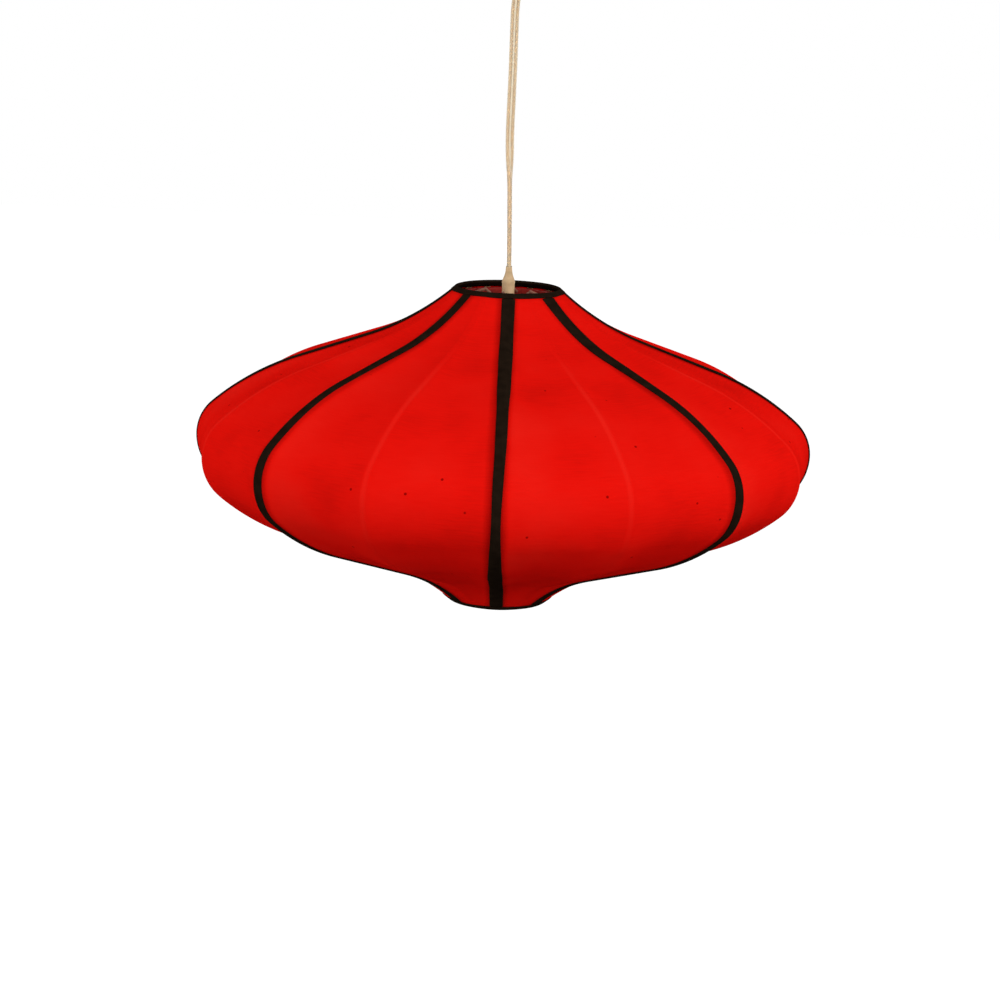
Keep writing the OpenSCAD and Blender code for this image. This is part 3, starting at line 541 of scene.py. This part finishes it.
# The silk's tone adds up thread, uneven dye, a painted highlight over the bare rib, standing for light
# sent back through the cloth by the bamboo behind it, and the paler side of each panel; painted shade
# beside each seam, where the doubled cloth lets less light through, and the knots in the thread take
# from it. Each pair is where such a mark is whole and where it has faded out.
plain_tone = 0.27
slub_tone = 0.16
uneven_tone = 0.30
slubs_a_metre = (70, 900, 1)
clouds_a_metre = 24
knots_a_metre = 56
# The painted highlight over the bare rib centres at this length along the bow; the next two pairs are its
# spread along the bow and across the rib.
rib_highlight_reach_at = 0.058
rib_highlight_reach_fades = (0.025, 0.105)
painted_rib_highlight_fades = (0.0002, 0.0026)
paler_side_fades = (-0.062, -0.024)
# Painted shade beside each seam, where the doubled cloth lets less light through.
painted_seam_shade_fades = (0.003, 0.0085)
knot_fades = (0.022, 0.064)
let_through = 0.3
silk, tree, shader = finish_material("red_silk", Roughness=0.6, Specular_IOR_Level=0.0)
where = object_space(tree)
cloth = add(tree, "UVMap", uv_map="cloth").outputs["UV"]
on_cloth = add(tree, "SeparateXYZ", [(0, cloth)]).outputs
edges = add(tree, "SeparateXYZ", [(0, add(tree, "UVMap", uv_map="edges").outputs["UV"])]).outputs
slub = noise(tree, scale=1, detail=3, where=stretched(tree, cloth, slubs_a_metre))
uneven = noise(tree, scale=clouds_a_metre, where=where)
# A painted highlight: a pale line along each bare rib, strongest a little above the widest circle.
from_rib_highlight_reach = maths(tree, "ABSOLUTE", maths(tree, "SUBTRACT", on_cloth["Y"], rib_highlight_reach_at))
rib_highlight_reach = fade(tree, from_rib_highlight_reach, rib_highlight_reach_fades, most=1.0)
painted_rib_highlight = fade(tree, edges["X"], painted_rib_highlight_fades, most=0.20)
paler_side = fade(tree, on_cloth["X"], paler_side_fades, most=0.20)
# Painted shade: the cloth within a few millimetres of each seam is darkened.
painted_seam_shade = fade(tree, edges["Y"], painted_seam_shade_fades, most=0.30)
knots = add(tree, "TexVoronoi", [("Vector", where)])
knots.inputs["Scale"].default_value = knots_a_metre
knot_dot = fade(tree, knots.outputs["Distance"], knot_fades, most=0.62)
tone = maths(tree, "MULTIPLY_ADD", slub, slub_tone, plain_tone)
tone = maths(tree, "MULTIPLY_ADD", uneven, uneven_tone, tone)
tone = maths(tree, "MULTIPLY_ADD", painted_rib_highlight, rib_highlight_reach, tone)
tone = maths(tree, "MULTIPLY_ADD", paler_side, uneven, tone)
tone = maths(tree, "SUBTRACT", tone, painted_seam_shade)
tone = maths(tree, "SUBTRACT", tone, knot_dot)
tint(tree, shader, tone, (0.0, (0.36, 0.0022, 0.0014)), (0.5, (0.89, 0.0080, 0.0042)),
     (0.84, (0.95, 0.0210, 0.0120)))
weft = bands(tree, cloth, scale=640, distortion=1.5, bands_direction="Y")
bump(tree, shader, maths(tree, "MULTIPLY_ADD", weft, 0.35, slub), distance=0.00010)
glow = add(tree, "BsdfTranslucent")
tint(tree, glow, tone, (0.0, (0.30, 0.0014, 0.0008)), (0.5, (0.93, 0.0150, 0.0080)),
     (0.84, (0.97, 0.0280, 0.0160)), socket="Color")
thin = add(tree, "MixShader", [(1, shader.outputs["BSDF"]), (2, glow.outputs["BSDF"])], i0=let_through)
tree.links.new(tree.nodes["Material Output"].inputs["Surface"], thin.outputs["Shader"])

for i in range(seams):
    points, cloth_uv = panel_points((2 * i + 1) * rib_step, panel_seed + i)
    panel = grid_piece(f"silk_panel_{i + 1}", points, uv=cloth_uv)
    thicken(panel, fabric_t)
    panel.data.materials.append(silk)
    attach(panel, "shade")
    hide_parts(f"panel_{i + 1}")


# Ribbons on the ribs
# Black satin ribbon glued over each seam from mouth to mouth; it is drawn narrower where it turns
# over the widest circle, and its edges lie down a little on the cloth at both sides of the rib.
ribbon_out = 0.00214
ribbon_t = 0.0005
ribbon_round_r = 0.0135
ribbon_tail = 0.0012
ribbon_ease = np.linspace(-0.008, 0.008, 9)
ribbon_rows = 265
ribbon_columns = 9
ribbon_wide_at = np.array([-62, -38, -20, 15, 30, 60, 100]) / 1000
ribbon_wide = np.array([8.3, 7.2, 6.2, 5.8, 6.2, 7.0, 8.1]) / 1000
# Three ways a ribbon was laid: its width as a share of the usual one, and how far it lies aside.
ribbon_laid_at = np.array([-45, -20, 0, 15, 40, 80, 110, 140]) / 1000
laid_even = (np.array([1.02, 1.06, 0.87, 0.99, 1.0, 0.98, 1.0, 1.02]),
             np.array([0.0, 0.0, 0.0, 0.3, 0.9, 0.9, 0.9, 0.85]) / 1000)
laid_wide = (np.array([1.28, 1.30, 1.20, 1.04, 0.97, 0.98, 0.98, 1.22]),
             np.array([0.6, 0.6, 0.5, 1.2, 1.5, 0.9, 0.8, 0.0]) / 1000)
laid_slack = (np.array([1.25, 1.28, 1.22, 1.18, 1.03, 0.88, 0.82, 0.86]),
              np.array([-0.9, -0.9, -0.8, -0.5, -1.1, -1.7, -0.9, 0.1]) / 1000)
ribbon_laid = (laid_even, laid_wide, laid_slack, laid_even, laid_slack, laid_wide, laid_even, laid_slack)
# Two slow waves of the width: depth, radians a metre, and a start that goes with the ribbon's turn.
ribbon_wander = ((0.00010, 61, 9), (0.00007, 143, 5))


def along_ribbon(s, places, values):
    """Values listed at places along the ribbon, joined by straight lines and averaged over 16 mm."""
    return np.interp(s + ribbon_ease, places, values).mean(axis=1, keepdims=True)


def ribbon_points(turn, share, aside):
    """A strip along the bow: its width is read off a list along the length, times this ribbon's own
    share, and wanders by a tenth of a millimetre; it falls in by the square of the distance from
    its middle, as on a round back, and it is glued on a little to one side."""
    r, z, nr, nz, s = [v[:, None] for v in bow(ribbon_rows, ribbon_out, ribbon_tail)]
    w = np.linspace(-1, 1, ribbon_columns)[None, :]
    half = along_ribbon(s, ribbon_wide_at, ribbon_wide) / 2 * along_ribbon(s, ribbon_laid_at, share)
    for deep, rate, start in ribbon_wander:
        half = half + deep * np.sin(rate * s + start * turn)
    y = w * half
    fall = y ** 2 / (2 * ribbon_round_r)
    x, y = r - fall * nr, y + along_ribbon(s, ribbon_laid_at, aside)
    cx, cy = np.sin(turn), -np.cos(turn)
    points = np.stack([x * cx - y * cy, x * cy + y * cx, widest_z + z - fall * nz + 0 * w], axis=2)
    return points, np.stack([y, s + 0 * w], axis=2)


satin, tree, shader = finish_material("black_satin", Roughness=0.7, Specular_IOR_Level=0.0)
cloth = add(tree, "UVMap", uv_map="cloth").outputs["UV"]
worn = noise(tree, scale=160, where=cloth)
tint(tree, shader, worn, (0.3, (0.0095, 0.0056, 0.0034)), (0.75, (0.0165, 0.0095, 0.0056)))
cords_across = bands(tree, cloth, scale=420, distortion=0.6, bands_direction="Y")
bump(tree, shader, cords_across, distance=0.00006)

for i in range(seams):
    points, cloth_uv = ribbon_points(2 * i * rib_step, *ribbon_laid[i])
    ribbon = grid_piece(f"satin_ribbon_{i + 1}", points, uv=cloth_uv)
    thicken(ribbon, ribbon_t)
    ribbon.data.materials.append(satin)
    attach(ribbon, "shade")
    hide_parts(f"ribbon_{i + 1}")


# Ribbons round the mouths
# The same ribbon folded over the cloth's edge at each mouth and glued down on both sides, so it makes
# a short cone that goes on from the neck; it swells a little where the rib ribbons end at it.
mouth_rim = 0.0054
mouth_corner = 0.0003
# Where each edge of the fold lies along the neck from the rib's end, and how far out from the rib.
mouth_outside = (0.0014, 0.00214)
mouth_inside = (0.0004, 0.0007)
mouth_swell = 0.00012
mouth_edge_wander = 0.00012
mouth_sides = 192
mouth_flat_points = 4
mouth_corner_points = 5


def mouth_ribbon_points(half, side):
    """A fold carried round the mouth: along the neck's slope on the outside, round the cloth's edge and
    back inside, as lengths and distances out from the rib's end; the radius swells slightly at
    every other rib, and the free edges wander."""
    slope = half_bow(*half)[1][-1]
    q = np.linspace(0, np.pi / 2, mouth_corner_points)
    bend = mouth_rim - mouth_corner * (1 - np.sin(q))
    turn_out = np.stack([bend, mouth_outside[1] - mouth_corner * (1 - np.cos(q))])
    turn_in = np.stack([bend, mouth_inside[1] + mouth_corner * (1 - np.cos(q))])[:, ::-1]
    flat_end = mouth_rim - 2 * mouth_corner
    go = np.linspace(mouth_outside[0], flat_end, mouth_flat_points)
    back = np.linspace(flat_end, mouth_inside[0], mouth_flat_points)
    start = np.array([go, np.full(mouth_flat_points, mouth_outside[1])])
    finish = np.array([back, np.full(mouth_flat_points, mouth_inside[1])])
    along, out = np.concatenate([start, turn_out, turn_in, finish], axis=1)
    turn = once_round(mouth_sides)[:, None]
    edge = np.zeros(len(along))
    edge[[0, -1]] = 1
    along = along + edge * mouth_edge_wander * np.sin(11 * turn + 1)
    swell = mouth_swell * (np.cos(seams * turn) + 0.5 * np.sin(3 * turn))
    r = rib_neck_r - along * np.cos(slope) + out * np.sin(slope) + swell
    z = half[0] + along * np.sin(slope) + out * np.cos(slope)
    points = np.stack([r * np.sin(turn), -r * np.cos(turn), widest_z + side * z], axis=2)
    length = np.concatenate([[0], np.cumsum(np.hypot(np.diff(along[0]), np.diff(out)))])
    round_uv = np.linspace(0, 2 * np.pi * rib_neck_r, mouth_sides + 1)[:, None]
    flat = np.stack([length[None, :] + 0 * round_uv, round_uv + 0 * length[None, :]], axis=2)
    return points.transpose(1, 0, 2)[:, ::side], flat.transpose(1, 0, 2)[:, ::side]


for name, half, side in (("top", upper_half, 1), ("bottom", lower_half, -1)):
    points, cloth_uv = mouth_ribbon_points(half, side)
    band = grid_piece(f"{name}_mouth_ribbon", points, closed=True, uv=cloth_uv)
    thicken(band, ribbon_t)
    band.data.materials.append(satin)
    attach(band, "shade")
    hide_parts(f"{name}_ribbon")


# Floor and light
# A plain floor well below the lantern that shows white and is clear from underneath, a white surround,
# and two large soft lamps in front: one high on the right, and a weaker one on the left nearly level
# with the lantern.
floor_z = widest_z - 0.85
floor_x = np.array([-8.0, 8.0])
floor_y = np.array([-6.0, 10.0])
floor_shows = 0.86
surround_light = 0.66
surround_shows = 1.0
lamp_aim = np.array([0, 0, widest_z])
lamp_size = 1.0


def seen_straight(tree):
    """One for what the camera, a reflection or a clear piece sees, and zero for light on the object."""
    ray = add(tree, "LightPath").outputs
    seen = maths(tree, "MAXIMUM", ray["Is Camera Ray"], ray["Is Glossy Ray"])
    return maths(tree, "MAXIMUM", seen, ray["Is Transmission Ray"])


floor = grid_piece("floor", np.stack(np.broadcast_arrays(
    floor_x[None, :], floor_y[:, None], floor_z), axis=2))
floor_paint, tree, shader = finish_material(
    "floor_paint", Base_Color=(0.22, 0.22, 0.22, 1), Roughness=0.9, Emission_Color=(1, 1, 1, 1))
shown = maths(tree, "MULTIPLY", seen_straight(tree), floor_shows)
tree.links.new(shader.inputs["Emission Strength"], shown)
one_way = add(tree, "MixShader", [
    (0, add(tree, "NewGeometry").outputs["Backfacing"]), (1, shader.outputs["BSDF"]),
    (2, add(tree, "BsdfTransparent").outputs["BSDF"])])
tree.links.new(tree.nodes["Material Output"].inputs["Surface"], one_way.outputs["Shader"])
floor.data.materials.append(floor_paint)

world = bpy.data.worlds.new("surround")
bpy.context.scene.world = world
world.use_nodes = True
tree = world.node_tree
level = add(tree, "MapRange", [(0, seen_straight(tree))], i3=surround_light, i4=surround_shows)
tree.links.new(tree.nodes["Background"].inputs["Strength"], level.outputs["Result"])
tree.nodes["Background"].inputs["Color"].default_value = (1, 1, 1, 1)

for name, spot, watts in (
        ("right_lamp", (1.65, -1.45, 0.40), 27.5),
        ("left_lamp", (-1.75, -1.30, -0.15), 17.5)):
    lamp = bpy.data.lights.new(name, "AREA")
    lamp.size = lamp_size
    lamp.energy = watts
    holder = bpy.data.objects.new(name, lamp)
    toward = np.array(spot) - lamp_aim
    toward = toward / np.linalg.norm(toward)
    side = np.cross([0, 0, 1.0], toward)
    side = side / np.linalg.norm(side)
    lamp_place = np.eye(4)
    lamp_place[:3, :3] = np.stack([side, np.cross(toward, side), toward], axis=1)
    lamp_place[:3, 3] = spot
    holder.matrix_world = lamp_place.T.tolist()
    bpy.context.collection.objects.link(holder)

bpy.context.scene.view_settings.view_transform = "Standard"
